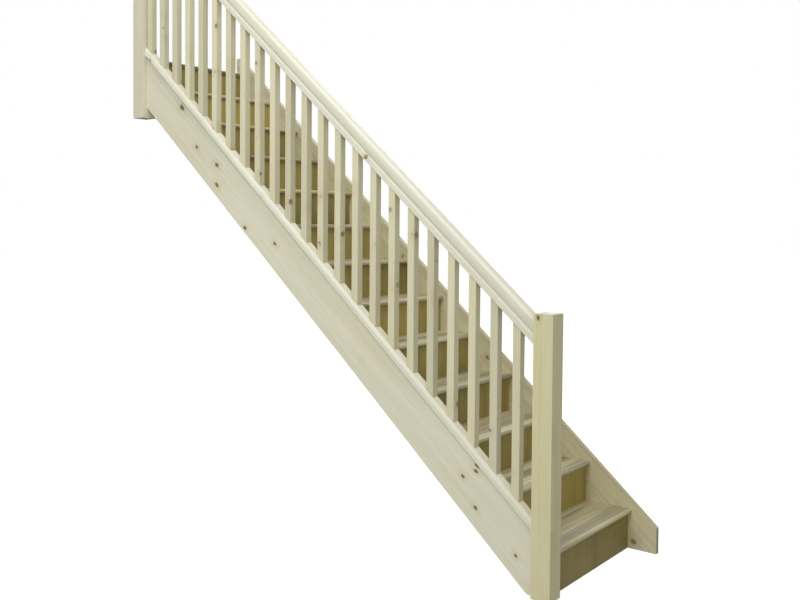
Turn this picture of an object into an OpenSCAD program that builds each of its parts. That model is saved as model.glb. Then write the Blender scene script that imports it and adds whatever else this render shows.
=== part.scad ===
// Straight closed-string pine flight against a wall, with newels, handrail and square spindles.
// +X points to the wall, +Y is the way up, +Z is up. The origin is on the wall face of the wall
// string, at floor level, in line with the face of the first riser.

/* [Flight] */
// Number of risers from floor to landing
risers = 13; // [7:1:15]
// Height of one rise
rise = 200; // [170:1:220]
// Depth of one going, from riser face to riser face
going = 229; // [210:1:280]
// Width of the flight, from the wall to the outer face of the outer string
flight_w = 870; // [650:1:1100]

/* [Treads and risers] */
// Thickness of a tread
tread_t = 22; // [18:1:32]
// How far a nosing stands in front of its riser
nosing = 20; // [12:1:30]
// Thickness of a plywood riser
riser_t = 9; // [6:1:15]
// Depth of the groove under a tread that takes the riser below it
riser_groove = 6; // [3:1:10]
// Width of the landing nosing board, front to back
landing_nosing_w = 85; // [60:1:110]
// Length of the half lap on the back of the landing nosing
landing_lap = 12; // [6:1:20]

/* [Strings] */
// Thickness of both strings
string_t = 28; // [25:1:40]
// Depth of both strings, square to the pitch
string_depth = 245; // [225:1:300]
// Height of the wall string above the nosing line, square to the pitch
wall_margin = 30; // [25:1:60]
// Depth of the housings routed into strings and newels
housing = 12; // [8:1:14]
// Length of the wall string in front of the first riser
foot_length = 148; // [60:1:250]
// Length of the wall string past the face of the last riser
head_length = 100; // [60:1:200]
// Height of the level cut at the head of the wall string, above the landing
head_height = 119; // [100:1:140]
// Thickness of the thick end of a wedge
wedge_thick = 13; // [8:1:14]
// Thickness of the thin end of a wedge
wedge_thin = 4; // [2:1:6]
// Length of a glue block along the tread
block_length = 75; // [40:1:120]
// Short side of a glue block
block_side = 40; // [25:1:60]

/* [Newels] */
// Side of a square newel
newel_w = 94; // [80:1:120]
// Distance from the face of the first riser up the flight to the middle of the bottom newel
bottom_newel_set = 11; // [-20:1:25]
// Distance from the face of the last riser up the flight to the middle of the top newel
top_newel_set = 22; // [0:1:30]
// Height of a newel above the handrail where the rail meets it
newel_above_rail = 24; // [10:1:200]
// How far the drop end of the top newel hangs below the string
newel_drop = 60; // [10:1:150]
// Ease on the top arrises of a newel
newel_ease = 2; // [1:0.5:5]
// Length of the tenons on string and handrail
tenon_length = 40; // [25:1:50]
// Thickness of the tenons on string and handrail
tenon_t = 12; // [8:1:16]

/* [Balustrade] */
// Plumb height of the top of the handrail above the nosing line
rail_height = 940; // [840:1:1000]
// Depth of the handrail, square to the pitch
rail_depth = 91; // [60:1:100]
// Width of the upper, wider part of the handrail
rail_w = 60; // [56:1:80]
// Depth of the lower, narrower part of the handrail
rail_neck_depth = 35; // [20:1:40]
// Width of the lower part of the handrail
rail_neck_w = 54; // [50:1:66]
// Radius of the rounded top arrises of the handrail
rail_round = 16; // [6:1:24]
// Width of the base rail over the string
base_rail_w = 58; // [54:1:80]
// Thickness of the base rail, square to the pitch
base_rail_t = 37; // [26:1:45]
// Height of the underside of the base rail above the nosing line, square to the pitch
base_rail_up = 9; // [0:1:30]
// Depth of the groove in the base rail that sits over the string
string_groove = 10; // [6:1:12]
// Depth of the grooves that take the spindles
spindle_groove = 8; // [5:1:10]
// Side of a square spindle
spindle_w = 39; // [32:1:45]
// Clear gap between spindles
spindle_gap = 76.5; // [60:0.5:99]
// Least gap left between the last spindle and the top newel
last_gap = 5; // [2:1:20]
// How far the infill pieces stand out of their groove
infill_proud = 2; // [0:0.5:6]

/* [Fits] */
// Clearance at the end of a housed board, in a mortise and over a grooved edge
clearance = 0.3; // [0.2:0.1:1]

/* [Hidden] */
treads = risers - 1;
landing_z = risers * rise;
last_riser_y = treads * going;
slope = rise / going;
pitch = atan(slope);
overcut = 1;
rake_overrun = 400;

string_x = -flight_w + string_t / 2;
outer_string_in = -flight_w + string_t;
tread_x0 = outer_string_in - housing;
tread_x1 = -string_t + housing;
newel_in = string_x + newel_w / 2;
newel_housed = newel_in - housing;

bottom_newel_y = bottom_newel_set;
top_newel_y = last_riser_y + top_newel_set;
run_y0 = bottom_newel_y + newel_w / 2;
run_y1 = top_newel_y - newel_w / 2;

spindle_pitch = spindle_w + spindle_gap;
spindles_n = floor((run_y1 - run_y0 - last_gap) / spindle_pitch);
groove_w = spindle_w + 2 * clearance;
block_xs = [0.2, 0.5, 0.8];

pine = [0.82, 0.78, 0.66];
pine_shade = [0.76, 0.71, 0.57];
plywood = [0.46, 0.41, 0.24];

function two(i) = i < 10 ? str("0", i) : str(i);

// Heights at a place y along the flight: the line over the nosings, and a line a square
// distance p above it.
function nosing_line(y) = rise + (y + nosing) * slope;
function up(y, p) = nosing_line(y) + p / cos(pitch);
// Place y at which the line p above the nosings has height z.
function y_at(z, p) = (z - rise - p / cos(pitch)) / slope - nosing;

rail_top = rail_height * cos(pitch);
rail_under = rail_top - rail_depth;
base_rail_over = base_rail_up + base_rail_t;
outer_string_top = base_rail_up + string_groove;
outer_string_low = outer_string_top + clearance - string_depth;
wall_string_low = wall_margin - string_depth;

// A shape drawn in the plane of the side elevation, made solid from x0 to x1.
module across(x0, x1) {
    translate([x0, 0, 0]) rotate([90, 0, 90]) linear_extrude(x1 - x0) children();
}

// A cross section made solid along the pitch, a square distance p above the nosing line,
// between plumb cuts at the two newels.
module along_pitch(p) {
    run = (run_y1 - run_y0) / cos(pitch);
    intersection() {
        translate([string_x, run_y0, up(run_y0, p)]) rotate([pitch, 0, 0])
            translate([0, run + rake_overrun, 0]) rotate([90, 0, 0])
                linear_extrude(run + 2 * rake_overrun) children();
        translate([string_x - rail_w, run_y0, 0])
            cube([2 * rail_w, run_y1 - run_y0, landing_z + 2 * rail_height]);
    }
}

// Side elevations of one step. The nosing is a half round.
module board_outline(y0, y1, top) {
    round_r = tread_t / 2;
    translate([y0 + round_r, top - tread_t]) square([y1 - y0 - round_r, tread_t]);
    translate([y0 + round_r, top - round_r]) circle(r = round_r, $fn = 48);
}

module tread_outline(i) {
    if (i < risers)
        board_outline((i - 1) * going - nosing, i * going, i * rise);
    else
        board_outline((i - 1) * going - nosing, (i - 1) * going - nosing + landing_nosing_w, i * rise);
}

function riser_low(i) = i == 1 ? 0 : (i - 1) * rise - tread_t;

module riser_outline(i) {
    translate([(i - 1) * going, riser_low(i)])
        square([riser_t, i * rise - tread_t + riser_groove - riser_low(i)]);
}

module step_outline(i) {
    tread_outline(i);
    riser_outline(i);
}

// Wedges under tread i and behind riser i. A wedge runs only over y0 to y1, where its string is.
function wedge_at(s) = wedge_thin + (wedge_thick - wedge_thin) * s;

module tread_wedge_outline(i, y0, y1) {
    thin_y = (i - 1) * going + riser_t + wedge_thick;
    thick_y = i * going + riser_t;
    a = max(thin_y, y0);
    b = min(thick_y, y1);
    under = i * rise - tread_t;
    polygon([
        [a, under],
        [a, under - wedge_at((a - thin_y) / (thick_y - thin_y))],
        [b, under - wedge_at((b - thin_y) / (thick_y - thin_y))],
        [b, under]]);
}

module riser_wedge_outline(i) {
    back = (i - 1) * going + riser_t;
    top = i * rise - tread_t;
    low = riser_low(i);
    polygon([[back, low], [back + wedge_thick, low], [back + wedge_thin, top], [back, top]]);
}

module wall_wedge_outlines() {
    for (i = [1 : treads]) tread_wedge_outline(i, 0, last_riser_y + riser_t);
    for (i = [1 : risers]) riser_wedge_outline(i);
}

module outer_wedge_outlines() {
    for (i = [1 : treads]) tread_wedge_outline(i, run_y0, run_y1);
    for (i = [2 : treads]) riser_wedge_outline(i);
}

// What a string is cut back to over its lower edge: the floor, or its own edge.
function low_edge(y, low) = up(y, low) < 0 ? [[y, 0], [y_at(0, low), 0]] : [[y, up(y, low)]];

module wall_string_outline() {
    head_y = last_riser_y + head_length;
    head_z = min(landing_z + head_height, up(head_y, wall_margin) - overcut);
    polygon(concat(
        low_edge(-foot_length, wall_string_low),
        [[head_y, up(head_y, wall_string_low)], [head_y, head_z],
         [y_at(head_z, wall_margin), head_z], [-foot_length, up(-foot_length, wall_margin)]]));
}

module outer_string_outline() {
    polygon(concat(
        low_edge(run_y0, outer_string_low),
        [[run_y1, up(run_y1, outer_string_low)], [run_y1, up(run_y1, outer_string_top)],
         [run_y0, up(run_y0, outer_string_top)]]));
}

// Tenons into a newel face at y, centred between two lines of the pitch. They run the way
// the sign says.
module tenon_outline(y, low, high, way, grow = 0) {
    third = (high - low) / 3;
    y_end = y + way * (tenon_length + grow);
    z_low = max(up(y, low + third), grow + tread_t) - grow;
    z_high = up(y, high - third) + grow;
    translate([min(y, y_end), z_low]) square([tenon_length + grow, z_high - z_low]);
}

module tenons(y, way, grow = 0) {
    across(string_x - tenon_t / 2 - grow, string_x + tenon_t / 2 + grow) {
        tenon_outline(y, outer_string_low, outer_string_top, way, grow);
        tenon_outline(y, rail_under, rail_top, way, grow);
    }
}

module string_tenon(y, way) {
    across(string_x - tenon_t / 2, string_x + tenon_t / 2)
        tenon_outline(y, outer_string_low, outer_string_top, way);
}

module rail_tenon(y, way) {
    across(string_x - tenon_t / 2, string_x + tenon_t / 2)
        tenon_outline(y, rail_under, rail_top, way);
}

// The space of both newels that a board stops short of, beside its housed end.
module newel_cores() {
    for (y = [bottom_newel_y, top_newel_y])
        translate([-flight_w - newel_w, y - newel_w / 2, -overcut])
            cube([newel_housed + flight_w + newel_w, newel_w, landing_z + 2 * rail_height]);
}

module tread(i) {
    color(pine_shade) difference() {
        across(tread_x0, tread_x1) tread_outline(i);
        across(tread_x0 - overcut, tread_x1 + overcut)
            translate([(i - 1) * going, i * rise - tread_t - overcut])
                square([riser_t, riser_groove + clearance + overcut]);
        newel_cores();
    }
}

module landing_nosing() {
    back = last_riser_y - nosing + landing_nosing_w;
    color(pine_shade) difference() {
        across(tread_x0, tread_x1) tread_outline(risers);
        across(tread_x0 - overcut, tread_x1 + overcut) {
            translate([last_riser_y, landing_z - tread_t - overcut])
                square([riser_t, riser_groove + clearance + overcut]);
            translate([back - landing_lap, landing_z - tread_t / 2])
                square([landing_lap + overcut, tread_t / 2 + overcut]);
        }
        newel_cores();
    }
}

module riser(i) {
    color(plywood) difference() {
        across(tread_x0, tread_x1) riser_outline(i);
        newel_cores();
    }
}

module wall_string() {
    color(pine) difference() {
        across(-string_t, 0) wall_string_outline();
        across(-string_t - overcut, tread_x1 + clearance) {
            for (i = [1 : risers]) step_outline(i);
            wall_wedge_outlines();
        }
    }
}

module outer_string() {
    color(pine) {
        difference() {
            across(-flight_w, outer_string_in) outer_string_outline();
            across(tread_x0 - clearance, outer_string_in + overcut) {
                for (i = [1 : risers]) step_outline(i);
                outer_wedge_outlines();
            }
        }
        string_tenon(run_y0, -1);
        string_tenon(run_y1, 1);
    }
}

module base_rail() {
    color(pine) along_pitch(base_rail_up) difference() {
        translate([-base_rail_w / 2, 0]) square([base_rail_w, base_rail_t]);
        translate([-string_t / 2 - clearance, -overcut])
            square([string_t + 2 * clearance, string_groove + clearance + overcut]);
        translate([-groove_w / 2, base_rail_t - spindle_groove])
            square([groove_w, spindle_groove + overcut]);
    }
}

// The handrail: a wide upper part with round arrises over a narrower neck, and a groove
// underneath for the spindles.
module handrail_section() {
    upper = rail_depth - rail_neck_depth;
    difference() {
        union() {
            translate([-rail_neck_w / 2, 0]) square([rail_neck_w, rail_neck_depth]);
            translate([-rail_w / 2, rail_neck_depth]) square([rail_w, upper - rail_round]);
            translate([-rail_w / 2 + rail_round, rail_neck_depth])
                square([rail_w - 2 * rail_round, upper]);
            for (side = [-1, 1])
                translate([side * (rail_w / 2 - rail_round), rail_depth - rail_round])
                    circle(r = rail_round, $fn = 48);
        }
        translate([-groove_w / 2, -overcut]) square([groove_w, spindle_groove + overcut]);
    }
}

module handrail() {
    color(pine) {
        along_pitch(rail_under) handrail_section();
        rail_tenon(run_y0, -1);
        rail_tenon(run_y1, 1);
    }
}

module newel(y, low, high) {
    ease = newel_ease;
    half = newel_w / 2;
    difference() {
        translate([string_x - half, y - half, low]) cube([newel_w, newel_w, high - low]);
        for (turn = [0 : 90 : 270])
            translate([string_x, y, high]) rotate([0, 0, turn]) translate([half, 0, 0])
                rotate([0, 45, 0]) cube([ease * sqrt(2), newel_w + 2 * overcut, ease * sqrt(2)], center = true);
        across(newel_housed - clearance, newel_in + overcut)
            for (i = [1, treads, risers]) step_outline(i);
        tenons(run_y0, -1, clearance);
        tenons(run_y1, 1, clearance);
    }
}

module bottom_newel() {
    color(pine) newel(bottom_newel_y, 0, up(run_y0, rail_top) + newel_above_rail);
}

module top_newel() {
    color(pine) newel(top_newel_y, up(run_y1, outer_string_low) - newel_drop,
        up(run_y1, rail_top) + newel_above_rail);
}

// Low edge y of spindle i, and the pieces that follow from it.
function spindle_y(i) = run_y0 + spindle_gap + (i - 1) * spindle_pitch;

module raked_piece(y0, y1, p_low, p_high, w) {
    across(string_x - w / 2, string_x + w / 2)
        polygon([[y0, up(y0, p_low)], [y1, up(y1, p_low)], [y1, up(y1, p_high)], [y0, up(y0, p_high)]]);
}

module spindles() {
    color(pine) for (i = [1 : spindles_n])
        raked_piece(spindle_y(i), spindle_y(i) + spindle_w,
            base_rail_over - spindle_groove, rail_under + spindle_groove, spindle_w);
}

// Infill pieces fill a groove from one spindle to the next, and to the newels.
module infills(p_low, p_high) {
    for (i = [0 : spindles_n]) {
        y0 = i == 0 ? run_y0 : spindle_y(i) + spindle_w;
        y1 = i == spindles_n ? run_y1 : spindle_y(i + 1);
        raked_piece(y0 + clearance, y1 - clearance, p_low, p_high, spindle_w);
    }
}

module base_rail_infills() {
    color(pine) infills(base_rail_over - spindle_groove, base_rail_over + infill_proud);
}

module handrail_infills() {
    color(pine) infills(rail_under - infill_proud, rail_under + spindle_groove);
}

module wall_string_wedges() {
    color(pine_shade) across(-string_t, tread_x1) wall_wedge_outlines();
}

module outer_string_wedges() {
    color(pine_shade) across(tread_x0, outer_string_in) outer_wedge_outlines();
}

// Three-cornered blocks glued in the angle behind each riser, under each tread.
module glue_blocks() {
    clear_w = -string_t - newel_in;
    color(pine_shade) for (i = [1 : treads]) for (share = block_xs) {
        x = newel_in + share * clear_w - block_length / 2;
        y = (i - 1) * going + riser_t;
        z = i * rise - tread_t;
        across(x, x + block_length) polygon([[y, z], [y + block_side, z], [y, z - block_side]]);
    }
}

for (i = [1 : treads])
    tread(i);
landing_nosing();
for (i = [1 : risers])
    riser(i);
wall_string();
outer_string();
base_rail();
handrail();
bottom_newel();
top_newel();
spindles();
base_rail_infills();
handrail_infills();
wall_string_wedges();
outer_string_wedges();
glue_blocks();
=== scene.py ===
"""A straight closed-string pine flight with newels, a moulded handrail and square spindles."""

import math

import bmesh
import bpy
from mathutils import Matrix, Vector

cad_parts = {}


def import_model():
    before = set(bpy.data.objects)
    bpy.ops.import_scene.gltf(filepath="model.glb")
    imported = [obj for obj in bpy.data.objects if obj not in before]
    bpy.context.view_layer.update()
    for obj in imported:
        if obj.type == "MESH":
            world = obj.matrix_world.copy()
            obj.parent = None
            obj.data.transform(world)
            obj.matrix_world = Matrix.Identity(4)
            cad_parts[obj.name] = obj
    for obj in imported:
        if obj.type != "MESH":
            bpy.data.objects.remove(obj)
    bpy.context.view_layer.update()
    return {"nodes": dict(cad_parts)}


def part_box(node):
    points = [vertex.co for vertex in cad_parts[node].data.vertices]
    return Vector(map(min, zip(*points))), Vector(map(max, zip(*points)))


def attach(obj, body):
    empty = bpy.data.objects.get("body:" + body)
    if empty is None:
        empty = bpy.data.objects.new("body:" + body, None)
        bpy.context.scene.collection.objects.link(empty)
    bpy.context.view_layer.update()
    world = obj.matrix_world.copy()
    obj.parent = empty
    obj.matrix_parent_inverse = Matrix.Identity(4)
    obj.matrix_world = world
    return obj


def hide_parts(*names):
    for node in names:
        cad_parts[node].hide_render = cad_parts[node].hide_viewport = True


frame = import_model()

MM = 0.001
scene = bpy.context.scene

# ---------------------------------------------------------------------------------------------
# Setting out, all of it from the frame: the pitch, the newel faces and the line of the rails.
# ---------------------------------------------------------------------------------------------
STEPS = 12
tread_low, tread_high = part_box("tread_02")
next_low, next_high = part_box("tread_03")
RISE = next_high[2] - tread_high[2]
GOING = next_low[1] - tread_low[1]
SLOPE = RISE / GOING
PITCH = math.atan(SLOPE)
newel_low, newel_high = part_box("bottom_newel")
RUN_START = newel_high[1]
RUN_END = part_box("top_newel")[0][1]
BALUSTRADE_X = (newel_low[0] + newel_high[0]) / 2
# Room left between pieces that slide together.
CLEARANCE = 0.3 * MM


def add(tree, kind, inputs=None, out=0, **settings):
    """Adds a node with its settings, puts a value or a link into its sockets, gives one output."""
    node = tree.nodes.new(kind)
    for key, value in settings.items():
        setattr(node, key, value)
    for key, value in (inputs or {}).items():
        if isinstance(value, bpy.types.NodeSocket):
            tree.links.new(value, node.inputs[key])
        else:
            node.inputs[key].default_value = value
    return node.outputs[out] if node.outputs else None


def linear(code):
    """An sRGB hex colour as linear red, green, blue and alpha."""
    parts = [int(code[i:i + 2], 16) / 255 for i in (1, 3, 5)]
    return [p / 12.92 if p <= 0.04045 else ((p + 0.055) / 1.055) ** 2.4 for p in parts] + [1.0]


# ---------------------------------------------------------------------------------------------
# Materials: bare softwood, sawn and planed, and softwood plywood.
# ---------------------------------------------------------------------------------------------
# Each turn brings a piece's own grain onto the X axis of the pattern.
GRAIN_ACROSS = (0, 0, 0)
GRAIN_UPRIGHT = (math.radians(90), 0, math.radians(90))
GRAIN_RAKED = (-PITCH, 0, math.radians(-90))

# Growth rings stand 3 to 5 mm apart in real pine. They are drawn coarser here so that they show.
RING_SPACING = 10 * MM
# The ring pattern repeats every tenth of pi at a scale of 1.
WAVE_PERIOD = math.pi / 10
# A branch is cut on the slant, so a knot is longer along the grain than across it.
KNOT_STRETCH = 0.65
# A knot's edge is ragged by this share of its radius, in waves about 13 mm long.
KNOT_RAGGED = 1.1
RAGGED_WAVE = 1 / 75
# The seam between two glued boards, from where it starts to darken to its middle.
SEAM = 2.2 * MM
# How far the pattern is moved from one board to the next, at most, in metres.
BOARD_SHIFT = 7.0
# Bare softwood, a little below the index of its solid cell walls.
WOOD_IOR = 1.48

MATHS = "ShaderNodeMath"
VECTOR = "ShaderNodeVectorMath"
NOISE = "ShaderNodeTexNoise"
# Inputs 1 and 2 are the range that the value is in, 3 and 4 the one that it is brought to.
RANGE = "ShaderNodeMapRange"
SMOOTH = {"interpolation_type": "SMOOTHSTEP"}
# Input 0 is the share of the second colour. Inputs 6 and 7 and output 2 are the colours.
MIX = "ShaderNodeMix"
COLOURS = {"data_type": "RGBA"}


def flecks(tree, grain, along, across, detail):
    """Flecks drawn out along the grain, each about as long and as wide as is given."""
    scaled = add(tree, VECTOR, {0: grain, 1: (1 / along, 1 / across, 1 / across)},
                 operation="MULTIPLY")
    return add(tree, NOISE, {"Vector": scaled, "Scale": 1.0, "Detail": detail})


def distance_to_knots(tree, turned, grain, spacing, radius, single):
    """How far it is to the nearest knot, where 1.5 is about the rim of one.

    Scattered knots each have their own size, up to the radius. single holds (along, across,
    radius) of knots with a place of their own. The edge of each knot is ragged.
    """
    cells = add(tree, "ShaderNodeTexVoronoi", {"Vector": grain, "Scale": 1 / spacing}).node.outputs
    size = add(tree, "ShaderNodeSeparateColor", {"Color": cells["Color"]})
    size = add(tree, MATHS, {0: size, 1: radius / spacing, 2: 0.004}, operation="MULTIPLY_ADD")
    nearest = add(tree, MATHS, {0: cells["Distance"], 1: size}, operation="DIVIDE")
    face = add(tree, VECTOR, {0: turned, 1: (KNOT_STRETCH, 0, 1)}, operation="MULTIPLY")
    for along, across, own_radius in single:
        away = add(tree, VECTOR, {0: face, 1: (along * KNOT_STRETCH, 0, across)}, "Value",
                   operation="DISTANCE")
        away = add(tree, MATHS, {0: away, 1: own_radius}, operation="DIVIDE")
        nearest = add(tree, MATHS, {0: nearest, 1: away}, operation="MINIMUM")
    ragged = add(tree, NOISE, {"Vector": grain, "Scale": 1 / RAGGED_WAVE, "Detail": 3.0})
    return add(tree, MATHS, {0: ragged, 1: KNOT_RAGGED, 2: nearest}, operation="MULTIPLY_ADD")


def growth_rings(tree, grain, knot, spacing):
    """Rings, which run round the knots: 1 in the dark late wood and 0 in the pale early wood."""
    drawn = add(tree, VECTOR, {0: grain, 1: (0.05, 1, 1)}, operation="MULTIPLY")
    near = add(tree, MATHS, {0: knot, 1: 0.6}, operation="ADD")
    phase = add(tree, MATHS, {0: 9.0, 1: near}, operation="DIVIDE")
    rings = add(tree, "ShaderNodeTexWave",
                {"Vector": drawn, "Scale": WAVE_PERIOD / spacing, "Distortion": 9.0,
                 "Detail": 2.0, "Detail Scale": 0.5, "Phase Offset": phase},
                "Fac", wave_type="RINGS", rings_direction="X")
    return add(tree, MATHS, {0: rings, 1: 2.2}, operation="POWER")


def timber(name, turn, light, dark, tint, knot_colour="#665734", contrast=0.5, knot_spacing=0.42,
           knot_radius=9 * MM, knots=(), boards=0.0, ring_spacing=RING_SPACING, roughness=0.55,
           palest=1.06, darkest=0.90, cut_and_shade_tone=0.5):
    """Softwood: rings drawn out along the grain, flecks, tight knots and the tone of each board.

    tint is the hue that broad patches lean to. knots are (along, across, radius) of single
    knots, in the turned frame. boards is the width of the narrow boards that a wide one is
    glued up from. cut_and_shade_tone is the tone of end grain, which soaks up light; set very
    low, it also paints shade onto end faces that lie in shadow.
    """
    material = bpy.data.materials.new(name)
    material.use_nodes = True
    tree = material.node_tree
    shader = tree.nodes["Principled BSDF"].inputs

    # Where it is in its board: each board has its own stretch of the pattern.
    place = add(tree, "ShaderNodeTexCoord", out="Object")
    turned = add(tree, "ShaderNodeMapping", {"Vector": place, "Rotation": turn})
    board = add(tree, "ShaderNodeAttribute", out="Fac", attribute_name="board")
    seam = 0.0
    if boards:
        width = add(tree, "ShaderNodeSeparateXYZ", {"Vector": turned}, "Y")
        strip = add(tree, MATHS, {0: width, 1: boards}, operation="DIVIDE")
        number = add(tree, MATHS, {0: strip}, operation="FLOOR")
        board = add(tree, MATHS, {0: number, 1: 0.37, 2: board}, operation="MULTIPLY_ADD")
        across = add(tree, MATHS, {0: strip}, operation="FRACT")
        across = add(tree, MATHS, {0: across, 1: 0.5}, operation="SUBTRACT")
        across = add(tree, MATHS, {0: across}, operation="ABSOLUTE")
        seam = add(tree, RANGE, {0: across, 1: 0.5 - SEAM / boards, 2: 0.5}, **SMOOTH)
    random = add(tree, "ShaderNodeTexWhiteNoise", {"W": board}, noise_dimensions="1D").node.outputs
    grain = add(tree, VECTOR, {0: random["Color"], 1: [BOARD_SHIFT] * 3, 2: turned},
                operation="MULTIPLY_ADD")

    knot = distance_to_knots(tree, turned, grain, knot_spacing, knot_radius, knots)
    heart = add(tree, RANGE, {0: knot, 1: 1.75, 2: 1.05}, **SMOOTH)
    halo = add(tree, RANGE, {0: knot, 1: 4.4, 2: 1.6}, **SMOOTH)
    late_wood = growth_rings(tree, grain, knot, ring_spacing)
    fibres = flecks(tree, grain, 90 * MM, 2.2 * MM, 2.0)

    # How dark: rings, flecks, broad clouds and the wood round a knot.
    share = add(tree, MATHS, {0: late_wood, 1: 0.3 * contrast}, operation="MULTIPLY")
    streaks = flecks(tree, grain, 700 * MM, 16 * MM, 4.0)
    streaks = add(tree, RANGE, {0: streaks, 1: 0.35, 2: 0.75, 4: 0.6 * contrast}, **SMOOTH)
    share = add(tree, MATHS, {0: share, 1: streaks}, operation="ADD")
    clouds = flecks(tree, grain, 900 * MM, 110 * MM, 2.0)
    clouds = add(tree, RANGE, {0: clouds, 1: 0.4, 2: 0.7, 4: 0.5 * contrast}, **SMOOTH)
    share = add(tree, MATHS, {0: share, 1: clouds}, operation="ADD")
    share = add(tree, MATHS, {0: halo, 1: 0.35, 2: share}, operation="MULTIPLY_ADD", use_clamp=True)
    colour = add(tree, MIX, {0: share, 6: linear(light), 7: linear(dark)}, 2, **COLOURS)
    patches = flecks(tree, grain, 350 * MM, 60 * MM, 3.0)
    patches = add(tree, RANGE, {0: patches, 1: 0.4, 2: 0.65, 4: 0.55}, **SMOOTH)
    colour = add(tree, MIX, {0: patches, 6: colour, 7: linear(tint)}, 2, **COLOURS)
    colour = add(tree, MIX, {0: heart, 6: colour, 7: linear(knot_colour)}, 2, **COLOURS)

    # The tone: that of the board, of its fibres, and darker where it is cut across or glued. Set
    # very low, the tone of cut faces is painted shade on end faces in shadow.
    tone = add(tree, RANGE, {0: random["Value"], 3: darkest, 4: palest}, **SMOOTH)
    fine = add(tree, RANGE, {0: fibres, 1: 0.3, 2: 0.7, 3: 0.965, 4: 1.02}, **SMOOTH)
    tone = add(tree, MATHS, {0: tone, 1: fine}, operation="MULTIPLY")
    facing = add(tree, "ShaderNodeTexCoord", out="Normal")
    facing = add(tree, "ShaderNodeMapping", {"Vector": facing, "Rotation": turn},
                 vector_type="NORMAL")
    facing = add(tree, "ShaderNodeSeparateXYZ", {"Vector": facing}, "X")
    facing = add(tree, MATHS, {0: facing}, operation="ABSOLUTE")
    cut_grain_and_shade = add(tree, RANGE, {0: facing, 1: 0.5, 2: 0.85, 3: 1.0, 4: cut_and_shade_tone}, **SMOOTH)
    tone = add(tree, MATHS, {0: tone, 1: cut_grain_and_shade}, operation="MULTIPLY")
    glued = add(tree, RANGE, {0: seam, 3: 1.0, 4: 0.5}, **SMOOTH)
    tone = add(tree, MATHS, {0: tone, 1: glued}, operation="MULTIPLY")
    tones = add(tree, "ShaderNodeCombineColor", {0: tone, 1: tone, 2: tone})
    colour = add(tree, MIX, {0: 1.0, 6: colour, 7: tones}, 2, blend_type="MULTIPLY", **COLOURS)
    tree.links.new(colour, shader["Base Color"])

    # The surface: fibres raised by the plane, hard knots that shine, and open seams.
    rough = add(tree, RANGE, {0: fibres, 1: 0.25, 2: 0.75, 3: roughness - 0.06,
                              4: roughness + 0.08}, **SMOOTH)
    rough = add(tree, MATHS, {0: heart, 1: -0.12, 2: rough}, operation="MULTIPLY_ADD")
    tree.links.new(rough, shader["Roughness"])
    relief = add(tree, MATHS, {0: late_wood, 1: 0.35, 2: fibres}, operation="MULTIPLY_ADD")
    relief = add(tree, MATHS, {0: heart, 1: 0.5, 2: relief}, operation="MULTIPLY_ADD")
    relief = add(tree, MATHS, {0: seam, 1: -2.0, 2: relief}, operation="MULTIPLY_ADD")
    bump = add(tree, "ShaderNodeBump", {"Height": relief, "Strength": 0.35, "Distance": 0.25 * MM})
    tree.links.new(bump, shader["Normal"])
    shader["IOR"].default_value = WOOD_IOR
    return material


def raked_knot(y, height, radius):
    """A knot on a string, at y along the flight and a height above the nosing line."""
    z = nosing_line(y) + height
    along = y * math.cos(PITCH) + z * math.sin(PITCH)
    across = z * math.cos(PITCH) - y * math.sin(PITCH)
    return along, across, radius


def nosing_line(y):
    """Height of the line over the nosings at y."""
    return tread_high[2] + (y - tread_low[1]) * SLOPE


STRING_KNOTS = [raked_knot(*knot) for knot in (
    (2.40, -0.037, 0.017), (2.27, -0.159, 0.010), (2.10, -0.119, 0.012), (2.10, -0.231, 0.012),
    (1.87, -0.27, 0.010), (1.64, -0.152, 0.009), (0.35, 0.000, 0.012), (0.36, -0.036, 0.009),
    (0.43, -0.132, 0.008), (0.36, -0.203, 0.009), (0.15, -0.190, 0.007))]
WALL_KNOTS = [raked_knot(0.83, -0.068, 0.010), raked_knot(-0.03, -0.153, 0.013)]
# One knot near the head of the bottom newel, on its outer face.
NEWEL_KNOTS = [(newel_high[2] - 0.016, 0.034, 0.009)]

# Planed pine, straight from the planer: pale cream with a satin face and small dark knots.
STRING_PINE = timber("planed_pine_strings", GRAIN_RAKED, "#d9d6c6", "#c2bb9a", "#d0cfbd",
                     knots=STRING_KNOTS, contrast=0.6)
# The wall string's wood is a darker, yellower copy of the string pine with more figure: painted
# shade for the shade inside the flight. Its cut end is drawn very dark.
WALL_PINE_PAINTED_SHADE = timber("planed_pine_wall_string_painted_shade", GRAIN_RAKED, "#d8d2b6", "#aea47d", "#c9c5a2",
                   knots=WALL_KNOTS, knot_colour="#857348", contrast=0.9, cut_and_shade_tone=0.12)
# Moulded pine: the same wood, cut cleaner, so paler and a little smoother.
RAIL_PINE = timber("moulded_pine_rails", GRAIN_RAKED, "#d8d8ca", "#c6c2aa", "#d2cfbf",
                   contrast=0.5, knot_spacing=0.15, knot_radius=18 * MM,
                   knot_colour="#84714a", roughness=0.5)
# Planed pine fillets, the palest wood of the flight: paled as painted light against the shade that
# the spindles cast on their tops.
FILLET_PINE_PAINTED_LIGHT = timber("planed_pine_fillets_painted_light", GRAIN_RAKED, "#dedbc8", "#c9c3aa", "#d5d0bc",
                     contrast=0.4)
# Planed pine posts, glued up square: long upright streaks. The bottom newel's colours are yellowed
# as painted shade, for the warm cast of shade low in the flight.
NEWEL_PINE = timber("planed_pine_newels_shade_yellowed", GRAIN_UPRIGHT, "#cdc8a6", "#b3ab80", "#c3c09a",
                    contrast=0.6, knot_spacing=0.6, knots=NEWEL_KNOTS, cut_and_shade_tone=0.4)
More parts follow.
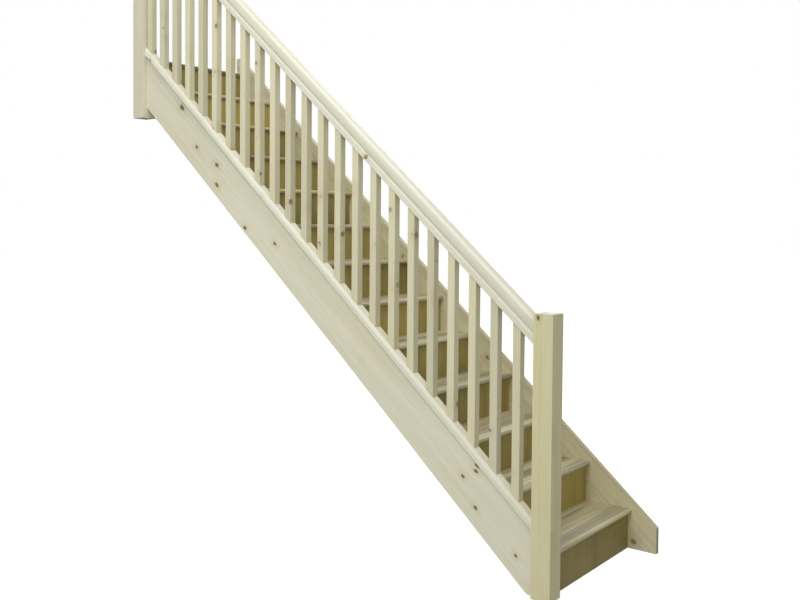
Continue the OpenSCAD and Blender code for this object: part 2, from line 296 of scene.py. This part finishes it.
# The top newel's wood is a whiter copy of the newel pine: painted light, for the brighter light
# near the top of the flight. Its very dark end grain is painted shade under its drop.
TOP_NEWEL_PAINTED_LIGHT_AND_SHADE = timber("planed_pine_top_newel_painted_light_and_shade", GRAIN_UPRIGHT, "#d2cebb", "#bcb498", "#c8c5b0",
                        contrast=0.6, knot_spacing=0.6, cut_and_shade_tone=0.12)
# Planed pine squares: fine, straight and clear but for a few small knots.
SPINDLE_PINE = timber("planed_pine_spindles", GRAIN_UPRIGHT, "#d3cfb6", "#bdb592", "#cacaad",
                      contrast=0.6, knot_spacing=0.12, knot_radius=20 * MM, knot_colour="#7a6440")
# Pine boards glued edge to edge for the treads: narrow strips, each with its own tone. Their yellow
# is deepened as painted shade, for the warm cast of shade low in the flight.
TREAD_PINE_SHADE_YELLOWED = timber("edge_glued_pine_treads_shade_yellowed", GRAIN_ACROSS, "#c8c2a3", "#897f59", "#bdb591",
                    contrast=1.0, boards=62 * MM, ring_spacing=16 * MM, darkest=0.68,
                    palest=1.1)
# Sawn softwood for wedges and blocks: dull and a little furry.
SAWN_PINE = timber("sawn_softwood_wedges", GRAIN_ACROSS, "#cbbd93", "#a8966a", "#c4b184",
                   contrast=0.8, roughness=0.75)
# Softwood plywood: the rotary-cut face shows wide, uneven bands of straw, olive and brown.
RISER_PLY = timber("softwood_plywood_risers", GRAIN_UPRIGHT, "#ab9b56", "#85713d", "#a0944f",
                   contrast=0.8, ring_spacing=46 * MM, knot_spacing=0.5, roughness=0.65,
                   darkest=0.56, palest=1.22)
# A board's number sets its tone. From this one on, the browner sheets come at the foot.
FIRST_RISER_BOARD = 1490


# ---------------------------------------------------------------------------------------------
# Pieces
# ---------------------------------------------------------------------------------------------
def make_object(name, bm, material, smooth=None):
    """The finished object of a mesh in the making.

    smooth is the angle in degrees up to which its faces are shaded as one.
    """
    mesh = bpy.data.meshes.new(name)
    bm.to_mesh(mesh)
    bm.free()
    mesh.materials.append(material)
    if smooth:
        mesh.shade_smooth()
        mesh.set_sharp_from_angle(angle=math.radians(smooth))
    obj = bpy.data.objects.new(name, mesh)
    scene.collection.objects.link(obj)
    return obj


def fit(obj, node):
    """The piece stands for its node and rides with the flight."""
    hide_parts(node)
    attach(obj, "root")


def solids_of(node):
    """A copy of a node's mesh, merged and with its flat faces joined, and its separate solids.

    The mesh has room for a board number at each point.
    """
    bm = bmesh.new()
    bm.from_mesh(frame["nodes"][node].data)
    bmesh.ops.remove_doubles(bm, verts=bm.verts, dist=0.01 * MM)
    bmesh.ops.dissolve_limit(bm, angle_limit=math.radians(0.4), verts=bm.verts, edges=bm.edges)
    bm.verts.index_update()
    bm.edges.index_update()
    bm.verts.layers.float.new("board")
    seen, solids = set(), []
    for start in bm.verts:
        if start in seen:
            continue
        solid, queue = [], [start]
        seen.add(start)
        while queue:
            vert = queue.pop()
            solid.append(vert)
            for edge in vert.link_edges:
                other = edge.other_vert(vert)
                if other not in seen:
                    seen.add(other)
                    queue.append(other)
        solids.append(solid)
    return bm, solids


def measures(point):
    """What sets the outline of a piece: its place on each axis and along the pitch."""
    return point.x, point.y, point.z, point.z - SLOPE * point.y


def arrises(solid):
    """The edges of a solid where two faces of its outline meet."""
    ranges = [(min(values), max(values)) for values in zip(*(measures(v.co) for v in solid))]
    found = set()
    for vert in solid:
        for edge in vert.link_edges:
            middle = measures((edge.verts[0].co + edge.verts[1].co) / 2)
            faces = sum(min(abs(value - low), abs(value - high)) < 0.2 * MM
                        for value, (low, high) in zip(middle, ranges))
            if faces >= 2 and edge.calc_face_angle(0) > math.radians(20):
                found.add(edge)
    return found


def ease_arrises(bm, solids, ease):
    """Takes the sharpness off the outer arrises of the solids, by a round of the given size."""
    edges = set()
    for solid in solids:
        edges |= arrises(solid)
    bmesh.ops.bevel(bm, geom=sorted(edges, key=lambda edge: edge.index), offset=ease, segments=2,
                    profile=0.5, affect="EDGES", clamp_overlap=True)


def dressed(node, material, ease, number=0):
    """A node's own solids with their outer arrises eased, each one numbered as a board, from
    number on."""
    bm, solids = solids_of(node)
    board = bm.verts.layers.float["board"]
    for index, solid in enumerate(solids):
        for vert in solid:
            vert[board] = number + index
    ease_arrises(bm, solids, ease)
    fit(make_object(node + "_dressed", bm, material), node)


def arc(centre, radius, start, end, count):
    """Points on an arc, with its angles in degrees."""
    return [(centre[0] + radius * math.cos(math.radians(start + (end - start) * i / count)),
             centre[1] + radius * math.sin(math.radians(start + (end - start) * i / count)))
            for i in range(count + 1)]


def moulding(name, half, underside, material, node):
    """A rail between the newels.

    half is the right-hand side of its section, from the middle of the underside round to the
    middle of the top, square to the pitch.
    """
    section = half + [(-x, p) for x, p in reversed(half) if x > 0.01 * MM]
    bm = bmesh.new()
    ends = []
    for y in (RUN_START, RUN_END):
        ends.append([bm.verts.new((BALUSTRADE_X + x, y, nosing_line(y) + underside
                                   + p / math.cos(PITCH))) for x, p in section])
    count = len(section)
    for i in range(count):
        j = (i + 1) % count
        bm.faces.new((ends[0][i], ends[0][j], ends[1][j], ends[1][i]))
    bm.faces.new(ends[0])
    bm.faces.new(list(reversed(ends[1])))
    bmesh.ops.recalc_face_normals(bm, faces=bm.faces)
    fit(make_object(name, bm, material, smooth=28), node)


def rail_line(node):
    """Plumb heights of a rail's underside and top above the nosing line, and its half width."""
    low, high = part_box(node)
    return low[2] - nosing_line(RUN_START), high[2] - nosing_line(RUN_END), (high[0] - low[0]) / 2


def handrail():
    """A round-topped rail with a cove at each side over a narrower foot."""
    under, top, half = rail_line("handrail")
    depth = (top - under) * math.cos(PITCH)
    foot = half - 3 * MM
    foot_ease = 2 * MM
    cove = 8 * MM
    crown = 18 * MM
    section = [(0, 0), (foot - foot_ease, 0), (foot, foot_ease), (foot, 24 * MM)]
    section += arc((foot + 1 * MM, 33 * MM), cove, 250, 140, 6)
    section += [(half - 1.5 * MM, 42 * MM), (half, 46 * MM)]
    section += arc((half - crown, depth - crown), crown, 0, 78, 8)
    section += [(0, depth)]
    moulding("handrail_moulded", section, under, RAIL_PINE, "handrail")


def base_rail():
    """The rail over the string, sloped at its shoulders and grooved above and below."""
    under, top, half = rail_line("base_rail")
    depth = (top - under) * math.cos(PITCH)
    spindle_low, spindle_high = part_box("spindles")
    string_low, string_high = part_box("outer_string")
    over_string = (string_high[0] - string_low[0]) / 2 + CLEARANCE
    string_groove = 10 * MM
    groove = (spindle_high[0] - spindle_low[0]) / 2 + CLEARANCE
    groove_floor = depth - 8 * MM
    lip = 0.5 * MM
    section = [(0, string_groove), (over_string, string_groove), (over_string, 0)]
    section += [(half - 1 * MM, 0), (half, 1 * MM)]
    section += [(half, depth - 17 * MM), (half - 0.6 * MM, depth - 15 * MM)]
    section += [(groove + 1.6 * MM, depth - 0.8 * MM), (groove + lip, depth)]
    section += [(groove, depth), (groove, groove_floor), (0, groove_floor)]
    moulding("base_rail_moulded", section, under, RAIL_PINE, "base_rail")


# ---------------------------------------------------------------------------------------------
# What repeats up the flight
# ---------------------------------------------------------------------------------------------
def row_tree():
    """A tree that sets copies of a piece in a row, each numbered as a board of its own."""
    tree = bpy.data.node_groups.new("row_up_the_flight", "GeometryNodeTree")
    for name, kind in (("Piece", "Geometry"), ("Count", "Int"), ("Step", "Vector"),
                       ("Finish", "Material")):
        tree.interface.new_socket(name=name, in_out="INPUT", socket_type="NodeSocket" + kind)
    tree.interface.new_socket(name="Row", in_out="OUTPUT", socket_type="NodeSocketGeometry")
    given = add(tree, "NodeGroupInput").node.outputs
    line = add(tree, "GeometryNodeMeshLine", {"Count": given["Count"], "Offset": given["Step"]},
               mode="OFFSET")
    copies = add(tree, "GeometryNodeInstanceOnPoints",
                 {"Points": line, "Instance": given["Piece"]})
    number = add(tree, "GeometryNodeInputIndex")
    numbered = add(tree, "GeometryNodeStoreNamedAttribute",
                   {"Geometry": copies, "Name": "board", "Value": number},
                   data_type="FLOAT", domain="INSTANCE")
    real = add(tree, "GeometryNodeRealizeInstances", {"Geometry": numbered})
    done = add(tree, "GeometryNodeSetMaterial",
               {"Geometry": real, "Material": given["Finish"]})
    add(tree, "NodeGroupOutput", {"Row": done})
    return tree


ROW = row_tree()


def row(name, bm, material, node, count, step):
    """Copies of a piece up the flight, made one plain mesh."""
    obj = make_object(name, bm, material)
    modifier = obj.modifiers.new("row", "NODES")
    modifier.node_group = ROW
    for key, value in (("Count", count), ("Step", step), ("Finish", material)):
        modifier[ROW.interface.items_tree[key].identifier] = value
    obj.update_tag()
    evaluated = obj.evaluated_get(bpy.context.evaluated_depsgraph_get())
    mesh = bpy.data.meshes.new_from_object(evaluated)
    obj.modifiers.clear()
    obj.data = mesh
    mesh.name = name
    fit(obj, node)


def boards_and_rails():
    """The steps and the pieces between and under the newels, each with its material, the size
    of its eased arris and its first board number, which sets its tone and stretch of grain."""
    for i in range(1, STEPS + 1):
        dressed("tread_%02d" % i, TREAD_PINE_SHADE_YELLOWED, 1 * MM, i)
    dressed("landing_nosing", TREAD_PINE_SHADE_YELLOWED, 1 * MM, STEPS + 1)
    for i in range(1, STEPS + 2):
        dressed("riser_%02d" % i, RISER_PLY, 0.5 * MM,
                FIRST_RISER_BOARD + i - 1)
    dressed("wall_string", WALL_PINE_PAINTED_SHADE, 1 * MM, 3)
    dressed("outer_string", STRING_PINE, 1.5 * MM, 8)
    dressed("bottom_newel", NEWEL_PINE, 1.5 * MM, 2)
    dressed("top_newel", TOP_NEWEL_PAINTED_LIGHT_AND_SHADE, 1.5 * MM, 5)
    dressed("base_rail_infills", FILLET_PINE_PAINTED_LIGHT, 0.5 * MM, 20)
    dressed("handrail_infills", FILLET_PINE_PAINTED_LIGHT, 0.5 * MM, 50)
    dressed("wall_string_wedges", SAWN_PINE, 0.5 * MM)
    dressed("outer_string_wedges", SAWN_PINE, 0.5 * MM, 30)
    handrail()
    base_rail()


def lowest_solids(node, count, ease):
    """A mesh of a node's lowest solids, with their arrises eased."""
    bm, solids = solids_of(node)
    solids.sort(key=lambda solid: min(vert.co.z for vert in solid))
    ease_arrises(bm, solids[:count], ease)
    spare = [vert for solid in solids[count:] for vert in solid]
    bmesh.ops.delete(bm, geom=spare, context="VERTS")
    # The row numbers its boards itself.
    bm.verts.layers.float.remove(bm.verts.layers.float["board"])
    return bm


def spindles():
    """Square spindles with eased arrises, evenly spaced up the rake."""
    bm, solids = solids_of("spindles")
    starts = sorted(min(vert.co.y for vert in solid) for solid in solids)
    step = starts[1] - starts[0]
    bm.free()
    bm = lowest_solids("spindles", 1, 1.5 * MM)
    row("spindles_row", bm, SPINDLE_PINE, "spindles", len(starts),
        (0, step, step * SLOPE))


def glue_blocks():
    """Three blocks behind each riser."""
    bm = lowest_solids("glue_blocks", 3, 0.5 * MM)
    row("glue_blocks_row", bm, SAWN_PINE, "glue_blocks", STEPS, (0, GOING, RISE))


boards_and_rails()
spindles()
glue_blocks()

# ---------------------------------------------------------------------------------------------
# Floor, light and camera
# ---------------------------------------------------------------------------------------------
def background_rays(tree):
    """1 for rays that show the background: seen straight, in gloss or through glass."""
    path = add(tree, "ShaderNodeLightPath").node.outputs
    gloss_or_glass = add(tree, MATHS, {0: path["Is Glossy Ray"], 1: path["Is Transmission Ray"]},
                         operation="MAXIMUM")
    return add(tree, MATHS, {0: path["Is Camera Ray"], 1: gloss_or_glass}, operation="MAXIMUM")


def floor():
    """A pale floor, white where it is open and greyer in the shadow of the flight."""
    material = bpy.data.materials.new("pale_floor")
    material.use_nodes = True
    tree = material.node_tree
    shader = tree.nodes["Principled BSDF"]
    shader.inputs["Base Color"].default_value = linear("#b4b2a8")
    shader.inputs["Roughness"].default_value = 0.9
    plain = shader.outputs[0]
    glow = add(tree, "ShaderNodeEmission", {"Color": linear("#ffffff"), "Strength": 0.84})
    both = add(tree, "ShaderNodeAddShader", {0: plain, 1: glow})
    mixed = add(tree, "ShaderNodeMixShader", {0: background_rays(tree), 1: plain, 2: both})
    tree.links.new(mixed, tree.nodes["Material Output"].inputs["Surface"])
    half_width = 40
    just_below = Matrix.Translation((0, 0, -0.5 * MM))
    bm = bmesh.new()
    bmesh.ops.create_grid(bm, x_segments=1, y_segments=1, size=half_width, matrix=just_below)
    make_object("floor", bm, material)


def world():
    """White where it is seen, and a plain soft light all round."""
    sky = bpy.data.worlds.new("studio")
    scene.world = sky
    sky.use_nodes = True
    tree = sky.node_tree
    tree.nodes.clear()
    light = add(tree, "ShaderNodeBackground", {"Color": linear("#fffef4"), "Strength": 0.43})
    white = add(tree, "ShaderNodeBackground", {"Color": linear("#ffffff"), "Strength": 1.0})
    mixed = add(tree, "ShaderNodeMixShader", {0: background_rays(tree), 1: light, 2: white})
    add(tree, "ShaderNodeOutputWorld", {"Surface": mixed})


def lamp(name, place, target, size, power):
    """A square soft lamp."""
    data = bpy.data.lights.new(name, "AREA")
    data.size = size
    data.energy = power
    obj = bpy.data.objects.new(name, data)
    obj.location = place
    obj.rotation_euler = (Vector(target) - Vector(place)).to_track_quat("-Z", "Y").to_euler()
    scene.collection.objects.link(obj)


def camera():
    """The view up the flight from outside the balustrade, at a standing eye's height.

    turn is from the way up the flight towards the wall, tilt is up and lean is to one side.
    """
    place = Vector((-4.435, -1.911, 1.621))
    turn, tilt, lean = (math.radians(a) for a in (51.17, -1.74, 0.37))
    right = Vector((math.cos(turn), -math.sin(turn), 0))
    ahead = Vector((math.sin(turn) * math.cos(tilt), math.cos(turn) * math.cos(tilt),
                    math.sin(tilt)))
    over = right.cross(ahead)
    leaned_right = math.cos(lean) * right + math.sin(lean) * over
    leaned_over = math.cos(lean) * over - math.sin(lean) * right
    data = bpy.data.cameras.new("camera")
    data.lens = 42.17
    data.sensor_width = 36
    data.shift_x = 0.0324
    data.shift_y = -0.0628
    obj = bpy.data.objects.new("camera", data)
    matrix = Matrix((leaned_right, leaned_over, -ahead)).transposed().to_4x4()
    matrix.translation = place
    obj.matrix_world = matrix
    scene.collection.objects.link(obj)
    scene.camera = obj


floor()
world()
# The key lights the balustrade side, the overhead lamp the steps, the fill the wall side.
lamp("key", (-5.8, -0.1, 5.8), (-0.8, 1.3, 1.4), 3.4, 300)
lamp("overhead", (-1.8, -0.2, 5.6), (-0.6, 2.4, 2.2), 2.4, 60)
lamp("fill_behind", (5.5, 5.0, 4.5), (-0.4, 1.4, 1.4), 4.0, 300)
camera()
scene.view_settings.view_transform = "Standard"
